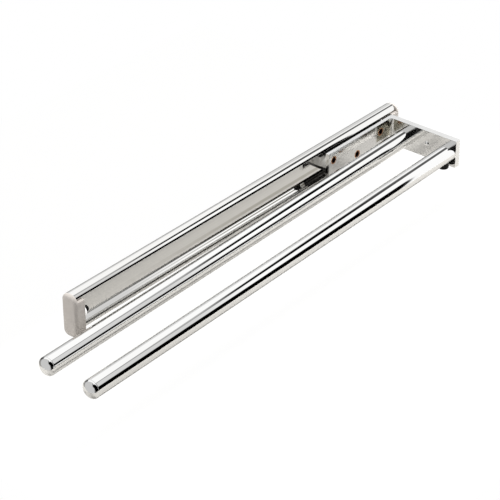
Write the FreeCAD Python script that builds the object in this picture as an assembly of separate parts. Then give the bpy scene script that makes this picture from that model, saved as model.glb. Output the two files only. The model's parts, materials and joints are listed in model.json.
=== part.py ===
import FreeCAD, Part
import math
import os

# Pull-out towel rack, in millimetres. X = 0 is the wall that the rail is screwed to, Y runs along the rail
# with the pull-out direction at -Y, Z is up, and the origin is midway between the rail's two screw holes.

# Rail: an extruded channel with an oval lobe along its top, and a slope below that ends in a small round bead
rail_length = 390.0
rail_wall = 1.4
lobe_diameter = 10.4
lobe_flat = 1.6
lobe_height = 11.8
lip_height = 13.3
lip_edge_round = 0.2
floor_height = -15.7
slope_width = 3.6
slope_rise = 2.8
heel_round = 4.0
bead_diameter = 4.2
bead_depth = 5.0
bead_drop = 1.3

# Screw holes in the rail's back wall, one under each end cap
mount_hole = 4.5
mount_inset = 6.0
screw_head_room = 9.0
screw_head_height = 3.2

# End caps: a flange over the rail's end, a plug in the lobe and a block in the mouth that stands out of it
cap_flange = 3.0
cap_depth = 14.3
cap_front_round = 6.6
cap_edge_round = 2.6
cap_block_length = 7.0
cap_block_height = 11.9
cap_clearance = 0.12

# Stops on the caps: a nylon collar on a pin, with a rubber tip
collar_diameter = 9.0
collar_length = 2.8
collar_pin = 3.0
collar_pin_length = 4.5
pin_clearance = 0.05
tip_diameter = 5.4
tip_length = 4.6
tip_round = 1.2
stop_gap = 0.3
stop_height = -1.0
stop_leg_gap = 0.3

# Runner: a slide with round ends, a head in the lobe, a neck in the mouth and a tongue that bears on the wall
runner_length = 85.2
runner_clearance = 0.3
runner_low = -8.6
neck_high = 8.0
neck_low = -7.0
neck_setback = 1.0
tongue_setback = 17.0

# Bracket: a long leg in front of the mouth and a cross plate that carries the arms
leg_length = 85.2
leg_setback = 1.7
leg_gap = 1.4
leg_thickness = 3.4
plate_thickness = 5.5
plate_gap = 0.5
bracket_height = 25.0
bracket_inner_round = 4.0
bracket_outer_round = 2.4
bracket_edge_round = 0.4

# Tubular rivets that hold the leg on the runner
rivet_shank = 4.6
rivet_bore = 3.6
rivet_head = 7.0
rivet_head_height = 0.7
rivet_flare = 6.4
rivet_end_inset = 6.5
rivet_rear_inset = 71.0
rivet_upper = 4.7
rivet_lower = -3.2
rivet_clearance = 0.05
washer_diameter = 9.0
washer_thickness = 1.0
washer_cover = 0.4

# Arms: two round tubes that droop a little towards their free ends
arm_diameter = 15.0
arm_wall = 1.0
arm_length = 428.3
arm_spacing = 43.0
arm_leg_gap = 9.0
arm_droop = 0.96
arm_edge_round = 0.3
plate_margin = 0.3

# Domed ends in the front of the arms
dome_height = 5.0
dome_skirt = 1.5
dome_round = 3.2
spigot_length = 12.0
tube_fit = 0.05

# Threaded inserts in the rear of the arms, and countersunk screws through the plate
insert_length = 16.0
arm_screw = 6.0
arm_screw_reach = 12.0
arm_screw_head = 11.4
arm_screw_sink = 0.3
plate_hole_clearance = 0.2
socket_across_flats = 4.0
socket_depth = 2.4

# Blind rivet in the plate, midway between the arms
plate_rivet_shank = 3.0
plate_rivet_head = 5.2
plate_rivet_dome = 1.5
plate_rivet_tail = 1.0

# Rubber foot under the outer arm, close to the plate
foot_diameter = 9.0
foot_height = 4.6
foot_setback = 5.8
foot_stem = 4.0
foot_stem_depth = 2.0
foot_round = 0.8

axis_x = FreeCAD.Vector(1, 0, 0)
axis_y = FreeCAD.Vector(0, 1, 0)
axis_z = FreeCAD.Vector(0, 0, 1)
origin = FreeCAD.Vector(0, 0, 0)
through = 2.0

# Places along Y that follow from the rail's end inwards
rail_end = rail_length / 2
block_face = rail_end - cap_block_length
stop_face = block_face - collar_length - tip_length
# At rest the runner stands by the rear stop or the plate by the rear cap, whichever comes first
plate_limit = block_face - plate_gap - plate_thickness
runner_front = min(stop_face - stop_gap - runner_length, plate_limit - leg_length - leg_setback)
runner_rear = runner_front + runner_length
leg_front = runner_front + leg_setback
plate_front = leg_front + leg_length
plate_rear = plate_front + plate_thickness

# Places in the rail's section
lobe_radius = lobe_diameter / 2
lobe_front = lobe_diameter + lobe_flat
channel_radius = lobe_radius - rail_wall
rail_top = lobe_height + lobe_radius
heel_height = floor_height - rail_wall
bead_height = floor_height - bead_drop
bead_radius = bead_diameter / 2
rail_bottom = bead_height - bead_radius

# Places along X that follow from the wall outwards
leg_back = lobe_front + leg_gap
leg_face = leg_back + leg_thickness
inner_arm_x = leg_face + arm_leg_gap + arm_diameter / 2
outer_arm_x = inner_arm_x + arm_spacing
plate_edge = outer_arm_x + arm_diameter / 2 + plate_margin
stop_x = leg_back - stop_leg_gap - collar_diameter / 2

arm_radius = arm_diameter / 2
bore_radius = arm_radius - arm_wall
rivet_seat = leg_face - rivet_head_height
washer_floor = rail_wall + runner_clearance + washer_cover + rivet_head_height + washer_thickness


def stadium(x_low, x_high, half_height, y_start, y_end):
    """A prism along Y whose section has straight sides and full round top and bottom."""
    radius = (x_high - x_low) / 2
    middle = (x_low + x_high) / 2
    straight = half_height - radius
    corner_a = FreeCAD.Vector(x_low, y_start, -straight)
    corner_b = FreeCAD.Vector(x_low, y_start, straight)
    corner_c = FreeCAD.Vector(x_high, y_start, straight)
    corner_d = FreeCAD.Vector(x_high, y_start, -straight)
    top = FreeCAD.Vector(middle, y_start, half_height)
    bottom = FreeCAD.Vector(middle, y_start, -half_height)
    edges = [
        Part.LineSegment(corner_a, corner_b).toShape(),
        Part.Arc(corner_b, top, corner_c).toShape(),
        Part.LineSegment(corner_c, corner_d).toShape(),
        Part.Arc(corner_d, bottom, corner_a).toShape(),
    ]
    return Part.Face(Part.Wire(edges)).extrude(axis_y * (y_end - y_start))


def box(x_low, x_high, y_low, y_high, z_low, z_high):
    corner = FreeCAD.Vector(x_low, y_low, z_low)
    return Part.makeBox(x_high - x_low, y_high - y_low, z_high - z_low, corner)


def rod(diameter, length, base, direction):
    return Part.makeCylinder(diameter / 2, length, base, direction)


def hole(diameter, clearance, length, base, direction):
    """What to cut away so that a round piece fits with its clearance all round."""
    return rod(diameter + 2 * clearance, length, base, direction)


def edges_along(shape, direction):
    """The straight edges of a shape that run along one axis."""
    found = []
    for edge in shape.Edges:
        if isinstance(edge.Curve, Part.Line) and abs(abs(edge.Curve.Direction.dot(direction)) - 1) < 1e-6:
            found.append(edge)
    return found


def edges_at_y(shape, y):
    """The edges that lie in one plane across Y."""
    found = []
    for edge in shape.Edges:
        if max(abs(edge.BoundBox.YMin - y), abs(edge.BoundBox.YMax - y)) < 1e-6:
            found.append(edge)
    return found


def long_edges_at_x(shape, x):
    """The edges along Y that stand at one distance from the wall."""
    return [edge for edge in edges_along(shape, axis_y) if abs(edge.CenterOfMass.x - x) < 1e-6]


def upright_at(shape, x, y):
    """The vertical edge that stands at one place in plan."""
    place = FreeCAD.Vector(x, y, 0)
    return [edge for edge in edges_along(shape, axis_z) if edge.CenterOfMass.distanceToPoint(place) < 0.1]


def oval(radius, y_start, y_end):
    """A prism along Y inside the lobe's section: two half rounds with the lobe's flat between them."""
    low = lobe_height - radius
    high = lobe_height + radius
    left = rod(2 * radius, y_end - y_start, FreeCAD.Vector(lobe_radius, y_start, lobe_height), axis_y)
    right = left.translated(axis_x * lobe_flat)
    between = box(lobe_radius, lobe_radius + lobe_flat, y_start, y_end, low, high)
    return left.fuse([right, between]).removeSplitter()


def wedge(margin, y_start, y_end):
    """The slope between the rail's back wall and its floor, with a margin above it."""
    high = FreeCAD.Vector(rail_wall, y_start, floor_height + slope_rise + margin)
    corner = FreeCAD.Vector(rail_wall, y_start, floor_height)
    far = FreeCAD.Vector(rail_wall + slope_width + margin, y_start, floor_height)
    return Part.Face(Part.makePolygon([high, corner, far, high])).extrude(axis_y * (y_end - y_start))


def make_rail():
    beyond = rail_end + through
    heel = box(0, bead_depth, -rail_end, rail_end, heel_height, lobe_height)
    back_edges = long_edges_at_x(heel, 0)
    heel = heel.makeFillet(heel_round, [edge for edge in back_edges if edge.CenterOfMass.z < 0])
    trough = box(rail_wall, bead_depth + through, -beyond, beyond, floor_height, rail_top)
    heel = heel.cut(trough).fuse(wedge(0, -rail_end, rail_end))
    bead = rod(bead_diameter, rail_length, FreeCAD.Vector(bead_depth, -rail_end, bead_height), axis_y)
    lobe = oval(lobe_radius, -rail_end, rail_end)
    channel = oval(channel_radius, -beyond, beyond)
    under = lobe_height - lobe_diameter
    below = box(-through, lobe_front + through, -beyond, beyond, under, lobe_height)
    mouth = box(lobe_radius, lobe_front + through, -beyond, beyond, under, lip_height)
    rail = lobe.cut(channel).cut(below).cut(mouth).fuse([heel, bead]).removeSplitter()
    lips = [edge for edge in edges_along(rail, axis_y) if abs(edge.CenterOfMass.z - lip_height) < 1e-6]
    rail = rail.makeFillet(lip_edge_round, lips)
    for side in (-1, 1):
        base = FreeCAD.Vector(-through, side * (rail_end - mount_inset), 0)
        rail = rail.cut(rod(mount_hole, rail_wall + 2 * through, base, axis_x))
    return rail


def cap_block(front, back):
    """What fills the mouth, clear of wall, slope and bead, and as deep as the cap in front of them."""
    before_bead = bead_depth + bead_radius + cap_clearance
    inner_x = rail_wall + cap_clearance
    inside = box(inner_x, cap_depth, front, back, floor_height + cap_clearance, cap_block_height)
    inside = inside.cut(wedge(2 * cap_clearance, front, back))
    outside = box(before_bead, cap_depth, front, back, rail_bottom, cap_block_height)
    bead_base = FreeCAD.Vector(bead_depth, front, bead_height)
    bead_room = hole(bead_diameter, cap_clearance, back - front, bead_base, axis_y)
    return inside.fuse(outside).cut(bead_room)


def make_front_cap():
    front = -rail_end - cap_flange
    block_end = -block_face
    outline = box(0, cap_depth, front, block_end, rail_bottom, rail_top)
    outline = outline.makeFillet(lobe_radius, long_edges_at_x(outline, 0))
    outline = outline.makeFillet(cap_front_round, long_edges_at_x(outline, cap_depth))
    outline = outline.makeFillet(cap_edge_round, edges_at_y(outline, front))
    flange_room = box(0, cap_depth, front, -rail_end, rail_bottom, rail_top)
    plug = oval(channel_radius - cap_clearance, -rail_end - cap_flange / 2, block_end)
    block = outline.common(cap_block(-rail_end, block_end))
    cap = outline.common(flange_room).fuse([block, plug])
    pocket_base = FreeCAD.Vector(0, -rail_end + mount_inset, 0)
    cap = cap.cut(rod(screw_head_room, rail_wall + screw_head_height, pocket_base, axis_x))
    pin_base = FreeCAD.Vector(stop_x, block_end, stop_height)
    pin_hole = hole(collar_pin, pin_clearance, collar_pin_length + pin_clearance, pin_base, -axis_y)
    return cap.cut(pin_hole).removeSplitter()


def make_front_collar():
    base = FreeCAD.Vector(stop_x, -block_face, stop_height)
    disc = rod(collar_diameter, collar_length, base, axis_y)
    return disc.fuse(rod(collar_pin, collar_pin_length, base, -axis_y))


def make_front_tip():
    base = FreeCAD.Vector(stop_x, -block_face + collar_length, stop_height)
    tip = rod(tip_diameter, tip_length, base, axis_y)
    return tip.makeFillet(tip_round, edges_at_y(tip, -stop_face))


def at_rear(shape):
    """The same piece at the rail's other end."""
    return shape.mirror(origin, axis_y)


def rivet_places():
    front = leg_front + rivet_end_inset
    rear = leg_front + rivet_rear_inset
    return [(front, rivet_upper), ((front + rear) / 2, rivet_lower), (rear, rivet_upper)]


def round_ended(x_low, x_high, z_low, z_high, setback):
    """A slab of the runner whose ends are full round, seen along X."""
    slab = stadium(-z_high, -z_low, runner_length / 2 - setback, x_low, x_high)
    slab.rotate(origin, axis_y, 90)
    slab.rotate(origin, axis_z, -90)
    slab.translate(axis_y * ((runner_front + runner_rear) / 2))
    return slab


def make_runner():
    back = rail_wall + runner_clearance
    head_radius = channel_radius - runner_clearance
    inner_face = lobe_radius + head_radius
    head = oval(head_radius, runner_front, runner_rear)
    web = box(back, lobe_radius, runner_front, runner_rear, neck_high, lobe_height)
    body = box(back, inner_face, runner_front, runner_rear, runner_low, neck_high)
    whole = round_ended(back, lobe_front, runner_low, lobe_height + head_radius, 0)
    neck = round_ended(inner_face, leg_back, neck_low, neck_high, neck_setback)
    tongue_face = bead_depth - bead_radius - runner_clearance
    tongue_front = runner_front + tongue_setback
    tongue_rear = runner_rear - tongue_setback
    tongue_low = floor_height + slope_rise + runner_clearance
    tongue = box(back, tongue_face, tongue_front, tongue_rear, tongue_low, neck_low)
    runner = head.fuse([web, body]).common(whole).fuse([neck, tongue])
    for y, z in rivet_places():
        base = FreeCAD.Vector(back - through, y, z)
        runner = runner.cut(hole(rivet_shank, rivet_clearance, leg_back + through, base, axis_x))
        pocket_depth = washer_floor - back + through
        runner = runner.cut(hole(washer_diameter, rivet_clearance, pocket_depth, base, axis_x))
    return runner.removeSplitter()


def in_arm(shape, x):
    """Puts a piece that was made along Y, with the plate at Y = 0, on one arm's drooping axis."""
    shape.rotate(origin, axis_x, arm_droop)
    shape.translate(FreeCAD.Vector(x, plate_front, 0))
    return shape


def screw_cone(grow):
    """The countersunk head of an arm screw, with its wide end just under the plate's rear face."""
    wide = arm_screw_head / 2 + grow
    narrow = arm_screw / 2 + grow
    top = plate_thickness - arm_screw_sink
    return Part.makeCone(wide, narrow, wide - narrow, axis_y * top, -axis_y)


def make_bracket():
    low = -bracket_height / 2
    corners = [
        (leg_back, leg_front),
        (leg_face, leg_front),
        (leg_face, plate_front),
        (plate_edge, plate_front),
        (plate_edge, plate_rear),
        (leg_back, plate_rear),
    ]
    points = [FreeCAD.Vector(x, y, low) for x, y in corners]
    outline = Part.Face(Part.makePolygon(points + points[:1]))
    bracket = outline.extrude(axis_z * bracket_height)
    bracket = bracket.makeFillet(bracket_inner_round, upright_at(bracket, leg_face, plate_front))
    bracket = bracket.makeFillet(bracket_outer_round, upright_at(bracket, leg_back, plate_rear))
    level_faces = [face for face in bracket.Faces if abs(abs(face.normalAt(0, 0).z) - 1) < 1e-6]
    rims = [edge for face in level_faces for edge in face.Edges]
    bracket = bracket.makeFillet(bracket_edge_round, rims)
    for y, z in rivet_places():
        base = FreeCAD.Vector(leg_back - through, y, z)
        bracket = bracket.cut(hole(rivet_shank, rivet_clearance, leg_thickness + 2 * through, base, axis_x))
        seat = FreeCAD.Vector(rivet_seat, y, z)
        bracket = bracket.cut(hole(rivet_head, rivet_clearance, rivet_head_height + through, seat, axis_x))
    across_plate = plate_thickness + 2 * through
    for x in (inner_arm_x, outer_arm_x):
        shaft = hole(arm_screw, plate_hole_clearance, across_plate, axis_y * -through, axis_y)
        sink_floor = axis_y * (plate_thickness - arm_screw_sink)
        sink = hole(arm_screw_head, rivet_clearance, through, sink_floor, axis_y)
        bracket = bracket.cut(in_arm(shaft.fuse([screw_cone(rivet_clearance), sink]), x))
    middle = (inner_arm_x + outer_arm_x) / 2
    base = FreeCAD.Vector(middle, plate_front - through, 0)
    bracket = bracket.cut(hole(plate_rivet_shank, rivet_clearance, across_plate, base, axis_y))
    tail = FreeCAD.Vector(middle, plate_rear - plate_rivet_tail, 0)
    return bracket.cut(hole(plate_rivet_head, rivet_clearance, plate_rivet_tail + through, tail, axis_y))


def make_rivets():
    rivets = []
    washer_seat = washer_floor - washer_thickness
    for y, z in rivet_places():
        head = rod(rivet_head, rivet_head_height, FreeCAD.Vector(rivet_seat, y, z), axis_x)
        shank = rod(rivet_shank, rivet_seat - washer_seat, FreeCAD.Vector(washer_seat, y, z), axis_x)
        flare = rod(rivet_flare, rivet_head_height, FreeCAD.Vector(washer_seat, y, z), -axis_x)
        bore = rod(rivet_bore, leg_face + through, FreeCAD.Vector(0, y, z), axis_x)
        rivets.append(head.fuse([shank, flare]).cut(bore))
    return Part.makeCompound(rivets)


def make_washers():
    washers = []
    for y, z in rivet_places():
        base = FreeCAD.Vector(washer_floor - washer_thickness, y, z)
        disc = rod(washer_diameter, washer_thickness, base, axis_x)
        washers.append(disc.cut(hole(rivet_shank, rivet_clearance, washer_thickness, base, axis_x)))
    return Part.makeCompound(washers)


def before_plate(shape):
    """Trims a piece of an arm flush with the plate's front face."""
    far_x = plate_edge + arm_diameter
    far_y = plate_rear + insert_length
    return shape.cut(box(0, far_x, plate_front, far_y, -arm_diameter, arm_diameter))


def foot_hole(depth):
    """The hole for the rubber foot's stem, from below the arm up to a depth under the tube's outside."""
    base = FreeCAD.Vector(0, -foot_setback, -arm_radius - foot_height)
    return hole(foot_stem, tube_fit, foot_height + depth, base, axis_z)


def make_arm_tube(x):
    start = axis_y * insert_length
    tube = rod(arm_diameter, arm_length + insert_length, start, -axis_y)
    tube = tube.makeFillet(arm_edge_round, edges_at_y(tube, -arm_length))
    tube = tube.cut(rod(2 * bore_radius, arm_length + insert_length, start, -axis_y))
    if x == outer_arm_x:
        tube = tube.cut(foot_hole(2 * arm_wall))
    return before_plate(in_arm(tube, x))


def make_arm_end(x):
    """A dome with a round shoulder on a short skirt, and a spigot that fills the tube's end."""
    rise = dome_height - dome_skirt
    ball_radius = (arm_radius ** 2 + rise ** 2) / (2 * rise)
    ball = Part.makeSphere(ball_radius, axis_y * (ball_radius - arm_length - dome_height))
    centre = axis_y * -arm_length
    dome = ball.common(rod(arm_diameter, dome_height + through, centre, -axis_y))
    shoulder = edges_at_y(dome, -arm_length - dome_skirt)
    dome = dome.makeFillet(dome_round, shoulder)
    dome = dome.makeFillet(arm_edge_round, edges_at_y(dome, -arm_length))
    spigot = rod(2 * (bore_radius - tube_fit), spigot_length, centre, axis_y)
    return in_arm(dome.fuse(spigot), x)


def make_insert(x):
    start = axis_y * insert_length
    insert = rod(2 * (bore_radius - tube_fit), 2 * insert_length, start, -axis_y)
    insert = insert.cut(hole(arm_screw, tube_fit, 2 * insert_length, start, -axis_y))
    if x == outer_arm_x:
        insert = insert.cut(foot_hole(arm_wall + foot_stem_depth))
    return before_plate(in_arm(insert, x))


def make_arm_screws():
    screws = []
    top = plate_thickness - arm_screw_sink
    for x in (inner_arm_x, outer_arm_x):
        shank = rod(arm_screw, arm_screw_reach + top, axis_y * top, -axis_y)
        socket = Part.Face(Part.makePolygon([
            FreeCAD.Vector(math.cos(turn), 0, math.sin(turn)) * (socket_across_flats / math.sqrt(3))
            for turn in (math.radians(60 * side) for side in range(7))
        ])).extrude(axis_y * -socket_depth)
        socket.translate(axis_y * top)
        screws.append(in_arm(shank.fuse(screw_cone(0)).cut(socket), x))
    return Part.makeCompound(screws)


def make_plate_rivet():
    middle = (inner_arm_x + outer_arm_x) / 2
    front = FreeCAD.Vector(middle, plate_front, 0)
    head_radius = plate_rivet_head / 2
    ball_radius = (head_radius ** 2 + plate_rivet_dome ** 2) / (2 * plate_rivet_dome)
    ball = Part.makeSphere(ball_radius, front + axis_y * (ball_radius - plate_rivet_dome))
    head_room = rod(plate_rivet_head, plate_rivet_dome, front, -axis_y)
    shank = rod(plate_rivet_shank, plate_thickness, front, axis_y)
    tail_floor = front + axis_y * (plate_thickness - plate_rivet_tail)
    tail = rod(plate_rivet_head, plate_rivet_tail, tail_floor, axis_y)
    return ball.common(head_room).fuse([shank, tail])


def make_foot():
    under = -arm_radius - foot_height
    base = FreeCAD.Vector(0, -foot_setback, under)
    pad = rod(foot_diameter, foot_height + arm_radius, base, axis_z)
    rim = [edge for edge in pad.Edges if edge.BoundBox.ZMax < under + 1e-6]
    pad = pad.makeFillet(foot_round, rim)
    pad = pad.cut(rod(arm_diameter, foot_diameter * 2, axis_y * (foot_diameter - foot_setback), -axis_y))
    stem_length = foot_height + arm_wall + foot_stem_depth - tube_fit - foot_round
    stem = rod(foot_stem, stem_length, base + axis_z * foot_round, axis_z)
    return in_arm(pad.fuse(stem), outer_arm_x)


def main():
    front_cap = make_front_cap()
    front_collar = make_front_collar()
    front_tip = make_front_tip()
    pieces = {
        "rail_profile": make_rail(),
        "front_end_cap": front_cap,
        "rear_end_cap": at_rear(front_cap),
        "front_stop_collar": front_collar,
        "rear_stop_collar": at_rear(front_collar),
        "front_stop_tip": front_tip,
        "rear_stop_tip": at_rear(front_tip),
        "runner": make_runner(),
        "carriage_bracket": make_bracket(),
        "runner_rivets": make_rivets(),
        "rivet_washers": make_washers(),
        "arm_screws": make_arm_screws(),
        "plate_rivet": make_plate_rivet(),
        "outer_arm_foot": make_foot(),
    }
    for name, x in (("inner_arm", inner_arm_x), ("outer_arm", outer_arm_x)):
        pieces[name + "_tube"] = make_arm_tube(x)
        pieces[name + "_end"] = make_arm_end(x)
        pieces[name + "_insert"] = make_insert(x)
    os.makedirs("parts", exist_ok=True)
    for name, shape in pieces.items():
        shape.exportStep("parts/" + name + ".step")
    print("slide travel", round(runner_front + stop_face - stop_gap, 3))


main()
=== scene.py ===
import json
import math
import bpy
import numpy as np
from mathutils import Matrix, Vector

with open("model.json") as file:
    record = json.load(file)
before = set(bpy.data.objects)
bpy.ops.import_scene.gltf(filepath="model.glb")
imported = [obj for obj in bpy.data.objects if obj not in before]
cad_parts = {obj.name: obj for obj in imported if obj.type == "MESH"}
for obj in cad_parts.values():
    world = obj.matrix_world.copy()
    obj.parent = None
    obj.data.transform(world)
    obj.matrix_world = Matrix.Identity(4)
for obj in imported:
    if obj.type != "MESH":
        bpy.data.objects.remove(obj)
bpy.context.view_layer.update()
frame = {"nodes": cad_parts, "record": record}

nodes = frame["nodes"]
print("frame loaded:", len(nodes), "pieces")


def pointsOf(name):
    return np.array([vertex.co[:] for vertex in nodes[name].data.vertices])


def boxOf(name):
    points = pointsOf(name)
    return Vector(points.min(axis=0).tolist()), Vector(points.max(axis=0).tolist())


railLow, railHigh = boxOf("rail_profile")
bracketLow, bracketHigh = boxOf("carriage_bracket")

# noise is used between these two values
noiseLow = 0.3
noiseHigh = 0.7
colourDetail = 3.0
grainDetail = 2.0


def newMaterial(name):
    material = bpy.data.materials.new(name)
    material.use_nodes = True
    tree = material.node_tree
    tree.nodes.clear()
    output = tree.nodes.new("ShaderNodeOutputMaterial")
    shader = tree.nodes.new("ShaderNodeBsdfPrincipled")
    tree.links.new(shader.outputs["BSDF"], output.inputs["Surface"])
    return material, tree, shader


def stretchedNoise(tree, stretch, scale, detail):
    # 3D noise on the piece's own coordinates, scaled apart along each axis
    coords = tree.nodes.new("ShaderNodeTexCoord")
    mapping = tree.nodes.new("ShaderNodeMapping")
    mapping.inputs["Scale"].default_value = stretch
    noise = tree.nodes.new("ShaderNodeTexNoise")
    noise.inputs["Scale"].default_value = scale
    noise.inputs["Detail"].default_value = detail
    tree.links.new(coords.outputs["Object"], mapping.inputs["Vector"])
    tree.links.new(mapping.outputs["Vector"], noise.inputs["Vector"])
    return noise.outputs["Fac"]


def ramp(tree, factor, low, high):
    # colour between two tones, by a noise
    node = tree.nodes.new("ShaderNodeValToRGB")
    first, last = node.color_ramp.elements
    first.position = noiseLow
    first.color = (*low, 1.0)
    last.position = noiseHigh
    last.color = (*high, 1.0)
    tree.links.new(factor, node.inputs["Fac"])
    return node.outputs["Color"]


def mapped(tree, value, low, high, atLow=0.0, atHigh=1.0):
    # number that goes straight from atLow to atHigh while the value goes from low to high
    node = tree.nodes.new("ShaderNodeMapRange")
    node.inputs["From Min"].default_value = low
    node.inputs["From Max"].default_value = high
    node.inputs["To Min"].default_value = atLow
    node.inputs["To Max"].default_value = atHigh
    tree.links.new(value, node.inputs["Value"])
    return node.outputs["Result"]


def placeStep(tree, axis, low, high):
    # rises from 0 to 1 between two places on one of the piece's own axes
    coords = tree.nodes.new("ShaderNodeTexCoord")
    parts = tree.nodes.new("ShaderNodeSeparateXYZ")
    tree.links.new(coords.outputs["Object"], parts.inputs["Vector"])
    return mapped(tree, parts.outputs[axis], low, high)


def product(tree, factors):
    total = factors[0]
    for factor in factors[1:]:
        node = tree.nodes.new("ShaderNodeMath")
        node.operation = "MULTIPLY"
        tree.links.new(total, node.inputs[0])
        tree.links.new(factor, node.inputs[1])
        total = node.outputs["Value"]
    return total


def twoTone(tree, colour, tone):
    # the finish's colour between two heights, and the deep tone above and below
    over = placeStep(tree, "Z", tone["bottom"] - tone["blend"], tone["bottom"] + tone["blend"])
    under = placeStep(tree, "Z", tone["top"] + tone["blend"], tone["top"] - tone["blend"])
    mix = tree.nodes.new("ShaderNodeMixRGB")
    tree.links.new(product(tree, [over, under]), mix.inputs["Fac"])
    mix.inputs["Color1"].default_value = (*tone["deep"], 1.0)
    tree.links.new(colour, mix.inputs["Color2"])
    return mix.outputs["Color"]


def darken(tree, colour, share, tone):
    # the colour times the tone where the share is 1
    mix = tree.nodes.new("ShaderNodeMixRGB")
    mix.blend_type = "MULTIPLY"
    mix.inputs["Color2"].default_value = (*tone, 1.0)
    tree.links.new(share, mix.inputs["Fac"])
    tree.links.new(colour, mix.inputs["Color1"])
    return mix.outputs["Color"]


def withPaintedDarkMark(tree, colour, paintedDarkMark):
    # painted shade and painted reflections: a dark zone from low to high on each named axis, that fades
    # out over soft
    steps = []
    for axis, (low, high, soft) in paintedDarkMark["range"].items():
        steps.append(placeStep(tree, axis, low - soft, low))
        steps.append(placeStep(tree, axis, high + soft, high))
    return darken(tree, colour, product(tree, steps), paintedDarkMark["tone"])


def withBoreShade(tree, colour, boreShade):
    # painted shade: a dark disc, seen along X, about each centre (y, z)
    for y, z in boreShade["centres"]:
        coords = tree.nodes.new("ShaderNodeTexCoord")
        offset = tree.nodes.new("ShaderNodeVectorMath")
        offset.operation = "SUBTRACT"
        offset.inputs[1].default_value = (0.0, y, z)
        tree.links.new(coords.outputs["Object"], offset.inputs[0])
        flat = tree.nodes.new("ShaderNodeVectorMath")
        flat.operation = "MULTIPLY"
        flat.inputs[1].default_value = (0.0, 1.0, 1.0)
        tree.links.new(offset.outputs["Vector"], flat.inputs[0])
        length = tree.nodes.new("ShaderNodeVectorMath")
        length.operation = "LENGTH"
        tree.links.new(flat.outputs["Vector"], length.inputs[0])
        inside = mapped(tree, length.outputs["Value"], boreShade["radius"] + boreShade["blend"], boreShade["radius"])
        colour = darken(tree, colour, inside, boreShade["tone"])
    return colour


def dent(tree, shader, finish):
    # fine grain that dents the surface
    bump = tree.nodes.new("ShaderNodeBump")
    bump.inputs["Strength"].default_value = finish["grain"]
    bump.inputs["Distance"].default_value = finish["grainDepth"]
    grain = stretchedNoise(tree, finish["stretch"], finish["grainScale"], grainDetail)
    tree.links.new(grain, bump.inputs["Height"])
    tree.links.new(bump.outputs["Normal"], shader.inputs["Normal"])


def surface(finish):
    # one finish: colour and roughness wander with noise, and the dictionary's own marks come on top,
    # painted shade and painted reflections among them
    material, tree, shader = newMaterial(finish["name"])
    noise = stretchedNoise(tree, finish["stretch"], finish["scale"], colourDetail)
    colour = ramp(tree, noise, finish["dark"], finish["light"])
    if "tone" in finish:
        colour = twoTone(tree, colour, finish["tone"])
    # painted shade and painted reflections, darkened in by place
    for paintedDarkMark in finish.get("paintedDarkMarks", []):
        colour = withPaintedDarkMark(tree, colour, paintedDarkMark)
    if "boreShade" in finish:
        colour = withBoreShade(tree, colour, finish["boreShade"])
    tree.links.new(colour, shader.inputs["Base Color"])
    roughness = mapped(tree, noise, noiseLow, noiseHigh, *finish["roughness"])
    tree.links.new(roughness, shader.inputs["Roughness"])
    shader.inputs["Metallic"].default_value = finish["metallic"]
    if "specular" in finish:
        shader.inputs["Specular IOR Level"].default_value = finish["specular"]
    if "glow" in finish:  # painted light: the finish glows a little, as if lit
        shader.inputs["Emission Color"].default_value = (1.0, 1.0, 1.0, 1.0)
        shader.inputs["Emission Strength"].default_value = finish["glow"]
    if "grain" in finish:
        dent(tree, shader, finish)
    return material


# polished arms, ends and the plate's rivet
chrome = {
    "name": "polishedChrome",
    "dark": (0.88, 0.88, 0.87),
    "light": (0.92, 0.92, 0.915),
    "roughness": (0.014, 0.024),
    "metallic": 1.0,
    "stretch": (1.0, 0.15, 1.0),
    "scale": 40.0,
}

# the bracket is a little duller, and has painted shade in the corner between leg and plate, standing in
# for a dark reflection
paintedCornerShade = {
    "range": {
        "Y": (bracketHigh.y - 0.0240, bracketHigh.y - 0.0080, 0.0025),
        "Z": (bracketHigh.z - 0.0155, bracketHigh.z - 0.0013, 0.0010),
    },
    "tone": (0.42, 0.40, 0.33),
}
bracketChrome = {
    "name": "bracketChrome",
    "dark": (0.88, 0.88, 0.87),
    "light": (0.92, 0.92, 0.915),
    "roughness": (0.12, 0.16),
    "metallic": 1.0,
    "stretch": (1.0, 0.15, 1.0),
    "scale": 40.0,
    "paintedDarkMarks": [paintedCornerShade],
}

# rail: painted reflections and shade: a dark line low on the wall, a soft painted shade above it, a
# line on the slope, one on the bead, and painted shadow in the slot behind the leg
wallDepth = (0.0010, 0.0018, 0.0002)
wallReflectionLine = {
    "range": {
        "X": wallDepth,
        "Y": (-0.02, railHigh.y, 0.22),
        "Z": (railLow.z + 0.0063, railLow.z + 0.0078, 0.0005),
    },
    "tone": (0.06, 0.055, 0.045),
}
wallShade = {
    "range": {
        "X": wallDepth,
        "Y": (0.02, railHigh.y, 0.16),
        "Z": (railLow.z + 0.0107, railLow.z + 0.0125, 0.0012),
    },
    "tone": (0.68, 0.67, 0.64),
}
slopeReflectionLine = {
    "range": {
        "X": (0.0025, 0.0030, 0.0002),
        "Y": (0.02, railHigh.y, 0.16),
        "Z": (railLow.z + 0.0041, railLow.z + 0.0066, 0.0002),
    },
    "tone": (0.35, 0.34, 0.31),
}
beadReflectionLine = {
    "range": {
        "X": (0.0058, 0.0075, 0.0002),
        "Z": (railLow.z + 0.0033, railLow.z + 0.0038, 0.0001),
    },
    "tone": (0.04, 0.04, 0.035),
}
legSlotShadow = {
    "range": {
        "X": (railHigh.x - 0.0027, railHigh.x + 0.0008, 0.0005),
        "Y": (bracketLow.y + 0.0002, railHigh.y - 0.0050, 0.002),
        "Z": (railHigh.z - 0.0080, railHigh.z - 0.0038, 0.0003),
    },
    "tone": (0.06, 0.06, 0.05),
}
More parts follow.
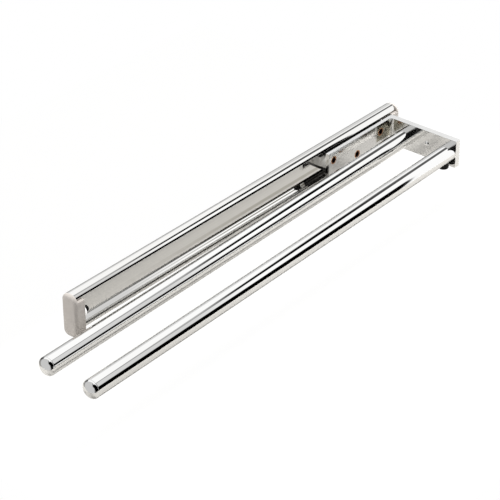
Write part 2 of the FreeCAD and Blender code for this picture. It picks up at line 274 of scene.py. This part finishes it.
aluminium = {
    "name": "railAluminium",
    "dark": (0.84, 0.835, 0.82),
    "light": (0.90, 0.895, 0.88),
    "roughness": (0.016, 0.028),
    "metallic": 1.0,
    "stretch": (1.0, 0.01, 1.0),
    "scale": 900.0,
    "paintedDarkMarks": [wallReflectionLine, wallShade, slopeReflectionLine, beadReflectionLine, legSlotShadow],
}

capPlastic = {
    "name": "capPlastic",
    "dark": (0.47, 0.435, 0.405),
    "light": (0.52, 0.485, 0.45),
    "roughness": (0.42, 0.5),
    "metallic": 0.0,
    "stretch": (1.0, 1.0, 1.0),
    "scale": 160.0,
    "grain": 0.15,
    "grainScale": 2500.0,
    "grainDepth": 0.0002,
}

# runner: pale between two heights, black above and below
runnerPlastic = {
    "name": "runnerPlastic",
    "dark": (0.66, 0.645, 0.61),
    "light": (0.74, 0.725, 0.69),
    "roughness": (0.35, 0.45),
    "metallic": 0.0,
    "stretch": (1.0, 1.0, 1.0),
    "scale": 140.0,
    "grain": 0.1,
    "grainScale": 2500.0,
    "grainDepth": 0.0002,
    "tone": {"bottom": -0.0010, "top": 0.0075, "blend": 0.0003, "deep": (0.015, 0.015, 0.014)},
}

# collar nylon: painted light, it glows a little so it looks whiter
nylon = {
    "name": "collarNylon",
    "dark": (0.93, 0.93, 0.92),
    "light": (0.97, 0.97, 0.96),
    "roughness": (0.3, 0.4),
    "metallic": 0.0,
    "stretch": (1.0, 1.0, 1.0),
    "scale": 300.0,
    "glow": 0.3,
}

rubber = {
    "name": "blackRubber",
    "dark": (0.004, 0.004, 0.004),
    "light": (0.009, 0.009, 0.009),
    "roughness": (0.35, 0.5),
    "metallic": 0.0,
    "specular": 0.12,
    "stretch": (1.0, 1.0, 1.0),
    "scale": 500.0,
    "grain": 0.2,
    "grainScale": 4000.0,
    "grainDepth": 0.0002,
}

rivetGap = 0.01


def rivetCentres():
    # the rivets are one node, so its points are parted where a gap shows along Y
    points = pointsOf("runner_rivets")
    points = points[np.argsort(points[:, 1])]
    breaks = np.flatnonzero(np.diff(points[:, 1]) > rivetGap) + 1
    middles = [(group.min(axis=0) + group.max(axis=0)) / 2 for group in np.split(points, breaks)]
    return [(float(middle[1]), float(middle[2])) for middle in middles]


# brass rivets, with painted shade in their bores
brass = {
    "name": "rivetBrass",
    "dark": (0.50, 0.22, 0.09),
    "light": (0.66, 0.34, 0.16),
    "roughness": (0.2, 0.32),
    "metallic": 1.0,
    "stretch": (1.0, 1.0, 1.0),
    "scale": 400.0,
    "boreShade": {"centres": rivetCentres(), "radius": 0.0026, "blend": 0.0004, "tone": (0.05, 0.015, 0.01)},
}

steel = {
    "name": "platedSteel",
    "dark": (0.52, 0.52, 0.53),
    "light": (0.66, 0.66, 0.67),
    "roughness": (0.22, 0.34),
    "metallic": 1.0,
    "stretch": (1.0, 1.0, 1.0),
    "scale": 350.0,
}

finishes = {
    "rail_aluminium": surface(aluminium),
    "polished_chrome": surface(chrome),
    "cap_plastic": surface(capPlastic),
    "runner_plastic": surface(runnerPlastic),
    "collar_nylon": surface(nylon),
    "stop_rubber": surface(rubber),
    "rivet_brass": surface(brass),
    "plated_steel": surface(steel),
}
ownFinishes = {"carriage_bracket": surface(bracketChrome)}

for part in frame["record"]["subparts"]:
    piece = nodes[part["node"]]
    piece.data.materials.clear()
    piece.data.materials.append(ownFinishes.get(part["node"], finishes[part["material_slot"]]))
print("finishes:", len(finishes) + len(ownFinishes))

# pale floor, with painted light and shade in bands across X, from behind the rail outwards, where the
# metal mirrors it
floorLook = {
    "below": 0.0309,
    "half": 0.32,
    "cells": 8,
    "colour": (0.378, 0.367, 0.348),
    "dim": 0.985,
    "noiseScale": 3.0,
    "noiseDetail": 2.0,
    "roughness": 0.9,
    "specular": 0.1,
    "cameraShare": 0.88,
    "white": 1.09,
    "behind": 0.5,
    "tones": [
        {"from": -0.060, "to": -0.035, "share": 1.35},
        {"from": 0.020, "to": 0.075, "share": 0.85},
        {"from": 0.078, "to": 0.100, "share": 1.2},
    ],
}


def floorMesh(look):
    # flat square grid of cells
    count = look["cells"] + 1
    steps = np.linspace(-look["half"], look["half"], count)
    s, t = np.meshgrid(steps, steps, indexing="ij")
    points = np.stack([s, t, np.full_like(s, railLow.z - look["below"])], -1).reshape(-1, 3)
    index = np.arange(count * count).reshape(count, count)
    corners = [index[:-1, :-1], index[1:, :-1], index[1:, 1:], index[:-1, 1:]]
    faces = np.stack(corners, -1).reshape(-1, 4)
    mesh = bpy.data.meshes.new("floor")
    mesh.from_pydata(points.tolist(), [], faces.tolist())
    return mesh


def floorShade(tree, look):
    # painted light and shade: the floor's share of its colour, changed step by step along X
    shade = None
    level = look["behind"]
    for tone in look["tones"]:
        change = tree.nodes.new("ShaderNodeMath")
        change.operation = "MULTIPLY_ADD"
        tree.links.new(placeStep(tree, "X", tone["from"], tone["to"]), change.inputs[0])
        change.inputs[1].default_value = tone["share"] - level
        if shade is None:
            change.inputs[2].default_value = level
        else:
            tree.links.new(shade, change.inputs[2])
        shade = change.outputs["Value"]
        level = tone["share"]
    return shade


def makeFloor(look):
    mesh = floorMesh(look)
    floor = bpy.data.objects.new("floor", mesh)
    bpy.context.scene.collection.objects.link(floor)
    material, tree, shader = newMaterial("paleFloor")
    noise = stretchedNoise(tree, (1.0, 1.0, 1.0), look["noiseScale"], look["noiseDetail"])
    dimColour = tuple(channel * look["dim"] for channel in look["colour"])
    scaled = tree.nodes.new("ShaderNodeVectorMath")
    scaled.operation = "SCALE"
    tree.links.new(ramp(tree, noise, dimColour, look["colour"]), scaled.inputs[0])
    tree.links.new(floorShade(tree, look), scaled.inputs["Scale"])
    tree.links.new(scaled.outputs["Vector"], shader.inputs["Base Color"])
    shader.inputs["Roughness"].default_value = look["roughness"]
    shader.inputs["Specular IOR Level"].default_value = look["specular"]
    # the camera sees mostly white and a share of the lit floor, with its shadow
    white = tree.nodes.new("ShaderNodeEmission")
    white.inputs["Strength"].default_value = look["white"]
    path = tree.nodes.new("ShaderNodeLightPath")
    share = tree.nodes.new("ShaderNodeMath")
    share.operation = "MULTIPLY"
    share.inputs[1].default_value = look["cameraShare"]
    tree.links.new(path.outputs["Is Camera Ray"], share.inputs[0])
    mix = tree.nodes.new("ShaderNodeMixShader")
    tree.links.new(share.outputs["Value"], mix.inputs["Fac"])
    tree.links.new(shader.outputs["BSDF"], mix.inputs[1])
    tree.links.new(white.outputs["Emission"], mix.inputs[2])
    output = next(node for node in tree.nodes if node.type == "OUTPUT_MATERIAL")
    tree.links.new(mix.outputs["Shader"], output.inputs["Surface"])
    mesh.materials.append(material)


makeFloor(floorLook)
print("floor set")

# what mirrors see, by direction: each range is (start, end) of a soft change
studio = {
    "ambient": 0.75,
    "tent": 1.08,
    "smallest": 0.001,
    "nearest": 0.05,
    # grey room in front, black in its upper right corner
    "room": 0.62,
    "frontX": -0.375,
    "frontY": -0.927,
    "frontRange": (0.50, 0.75),
    "cornerBearing": (0.05, 0.30),
    "cornerHeight": (0.25, 0.40),
    # haze low on the left, dark at its far end
    "haze": 0.76,
    "lowHaze": 0.42,
    "hazeBearing": (-0.60, -0.25),
    "hazeHeight": (0.10, 0.30),
    "farBearing": (-0.94, -0.89),
    "farShare": 0.1,
    # black band low on the right; its start moves outwards towards the rear
    "bandAcross": (0.79, 0.86),
    "bandDepth": (0.695, 0.735),
    "bandReach": 0.65,
    # greyer wing of the tent, on the right and at small y, and its black side
    "wing": 0.72,
    "wingAcross": (0.38, 0.43),
    "wingRise": (1.45, 1.55),
    "wingDepth": (0.595, 0.635),
    "sideAcross": (1.5, 2.0),
    "sideHeight": (0.88, 0.96),
    # height of the tent's lower edge, on the far left and elsewhere
    "edgeAcross": (-0.75, -0.40),
    "edgeLeft": (0.485, 0.505),
    "edgeRight": (0.35, 0.42),
    # black slanted gap in the tent, with the limits where it ends
    "gapRise": 1.07,
    "gapSlope": 0.49,
    "gapThin": 0.12,
    "gapWide": 0.18,
    "gapWiden": (1.0, 1.14),
    "gapSoft": (0.75, 1.25),
    "gapFloor": 0.10,
    "gapFloorRise": (1.02, 1.12),
    "gapFloorAcross": (0.15, 0.27),
    "gapRight": (0.50, 0.62),
    "gapLeft": (-0.55, -0.30),
    "gapDepth": (0.598, 0.622),
    "gapFront": 0.5,
}


def makeWorld(look):
    world = bpy.data.worlds.new("studio")
    bpy.context.scene.world = world
    world.use_nodes = True
    tree = world.node_tree
    tree.nodes.clear()

    def link(source, target):
        if isinstance(source, (int, float)):
            target.default_value = source
        else:
            tree.links.new(source, target)

    def calculate(kind, *values):
        node = tree.nodes.new("ShaderNodeMath")
        node.operation = kind
        for value, target in zip(values, node.inputs):
            link(value, target)
        return node.outputs["Value"]

    def times(a, b):
        return calculate("MULTIPLY", a, b)

    def blend(share, a, b):
        # a where the share is 0, b where it is 1
        return calculate("MULTIPLY_ADD", share, calculate("SUBTRACT", b, a), a)

    def step(value, limits, atStart, atEnd):
        # soft change from atStart to atEnd between the two limits
        node = tree.nodes.new("ShaderNodeMapRange")
        node.interpolation_type = "SMOOTHSTEP"
        link(value, node.inputs["Value"])
        link(limits[0], node.inputs["From Min"])
        link(limits[1], node.inputs["From Max"])
        link(atStart, node.inputs["To Min"])
        link(atEnd, node.inputs["To Max"])
        return node.outputs["Result"]

    # the direction: x, y, z, and its slopes against the level and against y
    coords = tree.nodes.new("ShaderNodeTexCoord")
    parts = tree.nodes.new("ShaderNodeSeparateXYZ")
    tree.links.new(coords.outputs["Generated"], parts.inputs["Vector"])
    x, y, z = (parts.outputs[name] for name in "XYZ")
    level = calculate("SQRT", calculate("SUBTRACT", 1.0, times(z, z)))
    level = calculate("MAXIMUM", level, look["smallest"])
    bearing = calculate("DIVIDE", x, level)
    depth = calculate("MAXIMUM", y, look["nearest"])
    across = calculate("DIVIDE", x, depth)
    rise = calculate("DIVIDE", z, depth)

    # under the tent: haze and black band
    leftHaze = step(z, look["hazeHeight"], look["lowHaze"], look["haze"])
    haze = step(bearing, look["hazeBearing"], leftHaze, look["tent"])
    haze = times(haze, step(bearing, look["farBearing"], look["farShare"], 1.0))
    reach = step(y, look["bandDepth"], 0.0, look["bandReach"])
    haze = times(haze, step(calculate("SUBTRACT", across, reach), look["bandAcross"], 1.0, 0.0))

    # the tent's cloth, with its wing and its side
    wing = times(step(across, look["wingAcross"], 0.0, 1.0), step(rise, look["wingRise"], 1.0, 0.0))
    wing = times(wing, step(y, look["wingDepth"], 1.0, 0.0))
    cloth = blend(wing, look["tent"], look["wing"])
    side = times(step(across, look["sideAcross"], 0.0, 1.0), step(z, look["sideHeight"], 1.0, 0.0))
    cloth = times(cloth, calculate("SUBTRACT", 1.0, side))
    edgeStart = step(across, look["edgeAcross"], look["edgeLeft"][0], look["edgeRight"][0])
    edgeEnd = step(across, look["edgeAcross"], look["edgeLeft"][1], look["edgeRight"][1])
    tent = step(z, (edgeStart, edgeEnd), haze, cloth)

    # the gap: 0 in it and 1 outside
    slant = calculate("MULTIPLY_ADD", across, look["gapSlope"], look["gapRise"])
    off = calculate("ABSOLUTE", calculate("SUBTRACT", rise, slant))
    half = step(rise, look["gapWiden"], look["gapThin"], look["gapWide"])
    gap = step(calculate("DIVIDE", off, half), look["gapSoft"], 0.0, 1.0)
    lowGrey = step(rise, look["gapFloorRise"], look["gapFloor"], 0.0)
    lowGrey = times(lowGrey, step(across, look["gapFloorAcross"], 1.0, 0.0))
    rightEnd = step(across, look["gapRight"], 0.0, 1.0)
    leftEnd = step(across, look["gapLeft"], 1.0, 0.0)
    frontEnd = step(y, look["gapDepth"], look["gapFront"], 0.0)
    for limit in (lowGrey, rightEnd, leftEnd, frontEnd):
        gap = calculate("MAXIMUM", gap, limit)
    rear = times(tent, gap)

    # the room in front
    along = calculate("ADD", times(x, look["frontX"]), times(y, look["frontY"]))
    front = step(calculate("DIVIDE", along, level), look["frontRange"], 0.0, 1.0)
    right = step(bearing, look["cornerBearing"], 0.0, 1.0)
    corner = times(right, step(z, look["cornerHeight"], 0.0, 1.0))
    room = blend(corner, look["room"], 0.0)
    seen = blend(front, rear, room)

    # mirrors see all this, other surfaces an even light, and the camera white
    path = tree.nodes.new("ShaderNodeLightPath")
    mirror = blend(path.outputs["Is Glossy Ray"], look["ambient"], seen)
    direct = calculate("MAXIMUM", path.outputs["Is Camera Ray"], path.outputs["Is Transmission Ray"])
    background = tree.nodes.new("ShaderNodeBackground")
    background.inputs["Color"].default_value = (1.0, 1.0, 1.0, 1.0)
    tree.links.new(blend(direct, mirror, 1.0), background.inputs["Strength"])
    output = tree.nodes.new("ShaderNodeOutputWorld")
    tree.links.new(background.outputs["Background"], output.inputs["Surface"])


makeWorld(studio)

# soft panels, hidden from mirrors and camera
lampAim = Vector((0.04, 0.0, 0.0))
lamps = {
    "overheadPanel": {"place": (0.10, 0.25, 1.1), "size": 0.4, "power": 12.0},
    "sidePanel": {"place": (-0.9, -0.9, 0.8), "size": 0.9, "power": 10.0},
    "rearPanel": {"place": (0.45, 0.75, 0.25), "size": 0.3, "power": 3.0},
}
for name, lamp in lamps.items():
    light = bpy.data.lights.new(name, "AREA")
    light.size = lamp["size"]
    light.energy = lamp["power"]
    panel = bpy.data.objects.new(name, light)
    panel.location = lamp["place"]
    panel.rotation_euler = (lampAim - panel.location).to_track_quat("-Z", "Y").to_euler()
    panel.visible_glossy = False
    panel.visible_camera = False
    bpy.context.scene.collection.objects.link(panel)
print("light set:", len(lamps), "panels")

# the photo's view: angles in degrees, place in metres, focal length and picture width in pixels
view = {
    "azimuth": 39.916,
    "elevation": 31.55,
    "place": (0.8735, -1.0282, 0.7882),
    "focalPixels": 1964.76,
    "widthPixels": 500.0,
    "sensor": 36.0,
}


def makeCamera(look):
    # backward, right and upward axes from the two angles
    azimuth = math.radians(look["azimuth"])
    elevation = math.radians(look["elevation"])
    level = math.cos(elevation)
    backward = Vector((math.sin(azimuth) * level, -math.cos(azimuth) * level, math.sin(elevation)))
    rightward = Vector((math.cos(azimuth), math.sin(azimuth), 0.0))
    upward = backward.cross(rightward)
    data = bpy.data.cameras.new("camera")
    data.sensor_width = look["sensor"]
    data.sensor_fit = "HORIZONTAL"
    data.lens = look["sensor"] * look["focalPixels"] / look["widthPixels"]
    camera = bpy.data.objects.new("camera", data)
    turn = Matrix((rightward, upward, backward)).transposed().to_4x4()
    camera.matrix_world = Matrix.Translation(Vector(look["place"])) @ turn
    bpy.context.scene.collection.objects.link(camera)
    bpy.context.scene.camera = camera


makeCamera(view)
bpy.context.scene.view_settings.view_transform = "Standard"
print("camera set")
